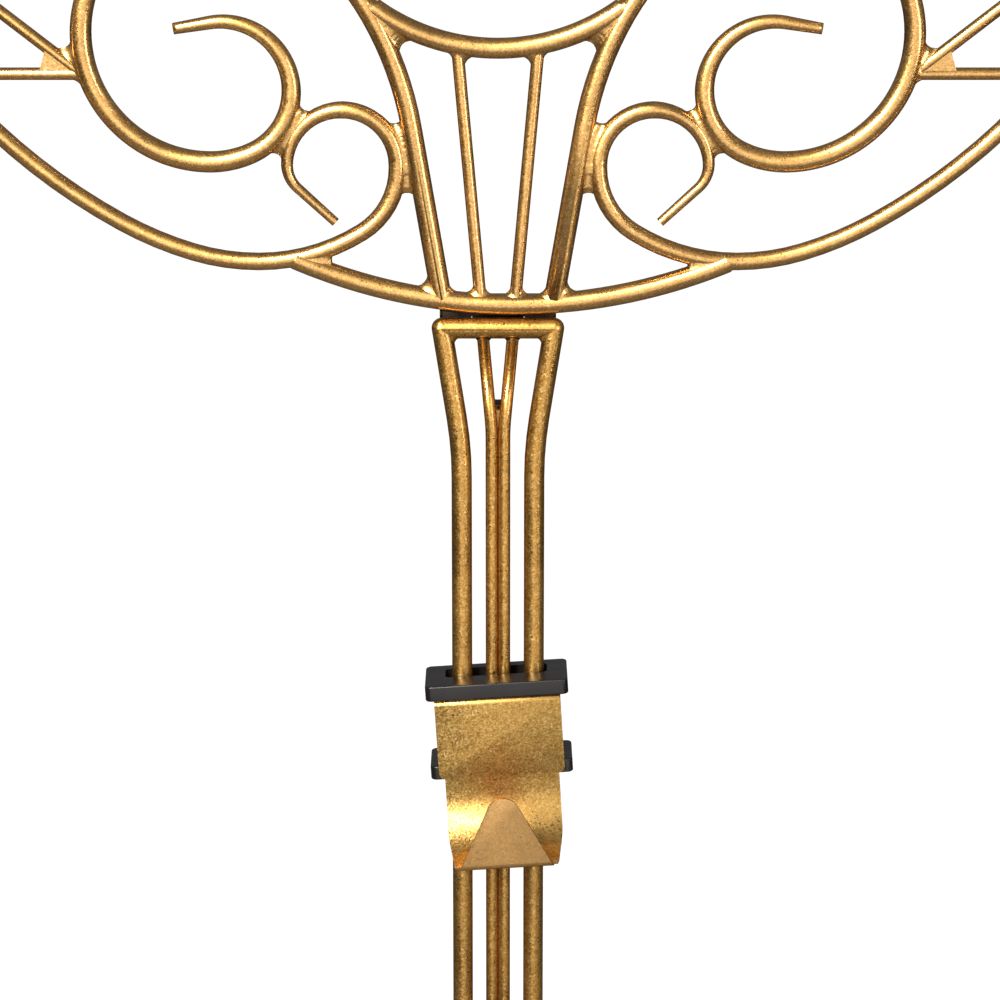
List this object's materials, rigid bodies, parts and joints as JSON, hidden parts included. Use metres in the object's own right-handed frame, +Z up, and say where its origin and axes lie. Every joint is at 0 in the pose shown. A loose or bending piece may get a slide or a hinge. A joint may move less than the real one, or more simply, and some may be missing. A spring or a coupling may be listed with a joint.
{
  "type": "music stand",
  "caption": "Floor-standing scrollwork music stand or display easel of welded rod, with a tilting desk, a sliding hook and a folding rear leg.",
  "frame": {"origin": "centre of the stand's footprint box, on the floor", "axes": "+Z up, -Y to the front where the reader stands, +X to the reader's right"},
  "size_m": [0.5238, 0.486, 1.4815],
  "materials": {
    "gold_paint": "metallic flake antique gold",
    "black_plastic": "satin moulded",
    "dark_steel": "blackened",
    "foot_rubber": "matt"
  },
  "bodies": {
    "mast": {"mast_head_bar": "gold_paint", "mast_rail_left": "gold_paint", "mast_rail_right": "gold_paint", "inner_rod_left": "gold_paint", "inner_rod_right": "gold_paint", "mast_foot_bar": "gold_paint", "leg_stretcher": "gold_paint", "front_foot_left": "foot_rubber", "front_foot_right": "foot_rubber", "desk_hinge_leaf_lower": "dark_steel", "desk_hinge_pin": "dark_steel", "leg_hinge_clevis": "gold_paint", "leg_hinge_pin": "dark_steel"},
    "desk": {"desk_bow": "gold_paint", "desk_hinge_leaf_upper": "dark_steel", "heart_scroll_left": "gold_paint", "heart_scroll_right": "gold_paint", "ray_gusset_left": "gold_paint", "ray_gusset_right": "gold_paint", "ray_lower_left": "gold_paint", "ray_lower_right": "gold_paint", "ray_upper_left": "gold_paint", "ray_upper_right": "gold_paint", "rim_crest_left": "gold_paint", "rim_crest_right": "gold_paint", "rim_scroll_left": "gold_paint", "rim_scroll_right": "gold_paint", "torch_bar_left": "gold_paint", "torch_bar_right": "gold_paint", "torch_bow": "gold_paint", "torch_stile_left": "gold_paint", "torch_stile_right": "gold_paint"},
    "slider": {"hook_plate": "gold_paint", "upper_guide": "black_plastic", "lower_guide": "black_plastic", "upper_guide_screws": "dark_steel", "lower_guide_studs": "dark_steel"},
    "rear_leg": {"rear_leg_tongue": "dark_steel", "rear_leg_rod": "gold_paint", "rear_foot": "foot_rubber"}
  },
  "joints": [
    {"name": "desk_tilt", "type": "hinge", "parent": "mast", "child": "desk", "pos_m": [0, -0.10237, 1.19889], "axis": [-1, 0, 0], "range_deg": [0, 35]},
    {"name": "hook_slide", "type": "slide", "parent": "mast", "child": "slider", "axis": [0, 0.1045, 0.9945], "range_m": [-0.48, 0.06]},
    {"name": "rear_leg_fold", "type": "hinge", "parent": "mast", "child": "rear_leg", "pos_m": [0, -0.09562, 1.15378], "axis": [-1, 0, 0], "range_deg": [0, 22]}
  ]
}
